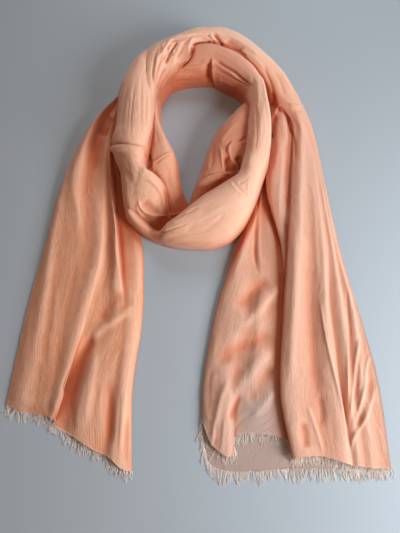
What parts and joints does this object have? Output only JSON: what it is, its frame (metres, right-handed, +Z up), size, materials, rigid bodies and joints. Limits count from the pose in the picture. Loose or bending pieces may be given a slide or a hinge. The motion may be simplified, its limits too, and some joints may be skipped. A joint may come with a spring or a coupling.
{
  "type": "viscose scarf",
  "caption": "Lightweight woven scarf laid flat, wound once into a loose ring with two gathered tails that end in a frayed fringe.",
  "frame": {"origin": "middle of the laid scarf on the surface that it lies on", "axes": "+Z up from the surface, +Y from the hems towards the ring, +X towards the wider tail"},
  "size_m": [0.369, 0.5569, 0.052],
  "materials": {
    "cloth": "soft matt peach viscose voile with fine slubs and crinkles, slightly see-through where it is one layer",
    "fringe": "frayed threads of the same cloth, a little paler"
  },
  "bodies": {
    "root": {"wrap_left": "cloth", "wrap_front": "cloth", "wrap_right": "cloth", "wrap_left_inner": "cloth", "wrap_right_inner": "cloth", "wrap_back_inner": "cloth", "wrap_back_outer": "cloth", "tail_left": "cloth", "tail_right": "cloth", "fringe_left": "fringe", "fringe_right": "fringe"}
  },
  "joints": []
}
